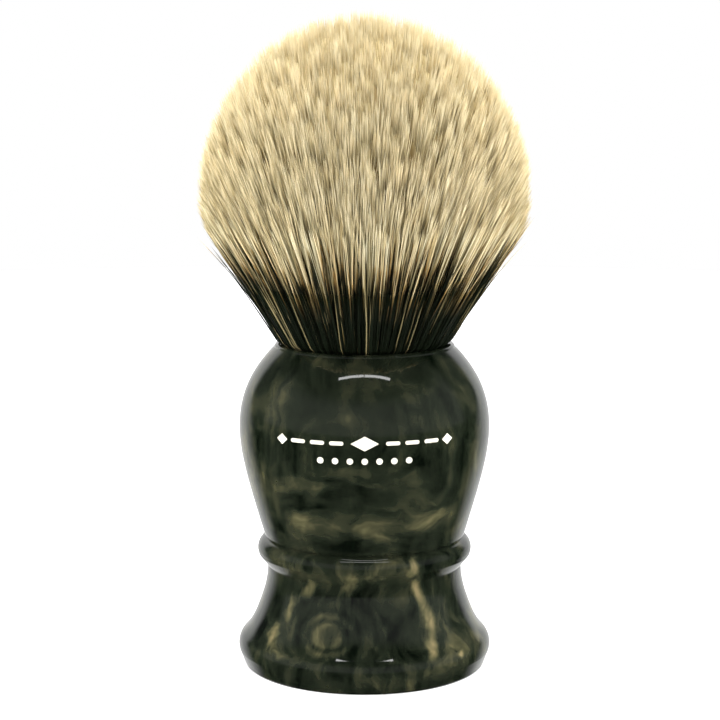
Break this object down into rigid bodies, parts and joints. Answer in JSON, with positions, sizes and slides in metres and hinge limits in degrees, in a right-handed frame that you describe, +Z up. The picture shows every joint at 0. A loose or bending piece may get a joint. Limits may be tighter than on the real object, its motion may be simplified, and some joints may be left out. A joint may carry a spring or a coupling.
{
  "type": "shaving brush",
  "caption": "Upright shaving brush: turned resin handle with a bulb, a collar and a flared foot, and a fan-shaped two-tone hair knot that bends.",
  "frame": {"origin": "centre of the foot's flat resting ring, on the surface that the brush stands on", "axes": "+Z up the brush's axis from the foot to the hair, -Y towards the front of the bulb, where the inlay is, +X to the right seen from the front"},
  "size_m": [0.0529, 0.0528, 0.1059],
  "materials": {
    "marbled_resin": "polished cast resin, marbled dark green-black and olive",
    "ivory_paint": "paint rubbed into a shallow engraving",
    "clear_adhesive": "cured epoxy",
    "plug_resin": "cast epoxy",
    "waxed_thread": "wound waxed thread",
    "dark_hair": "dark natural hair",
    "pale_hair": "pale cream natural hair"
  },
  "bodies": {
    "grip": {"handle": "marbled_resin", "front_inlay": "ivory_paint", "socket_adhesive": "clear_adhesive", "knot_plug": "plug_resin", "binding_thread": "waxed_thread", "hair_root_ends": "dark_hair", "hair_lower_band": "dark_hair"},
    "middle_tuft": {"hair_middle": "pale_hair"},
    "crown_tuft": {"hair_crown": "pale_hair"}
  },
  "joints": [
    {"name": "knot_bend_fore_aft", "type": "hinge", "parent": "grip", "child": "middle_tuft", "pos_m": [0, 0, 0.063], "axis": [1, 0, 0], "range_deg": [-25, 25], "stiffness_Nm_per_rad": 0.25},
    {"name": "knot_bend_sideways", "type": "hinge", "parent": "middle_tuft", "child": "crown_tuft", "pos_m": [0, 0, 0.063], "axis": [0, 1, 0], "range_deg": [-25, 25], "stiffness_Nm_per_rad": 0.25}
  ]
}
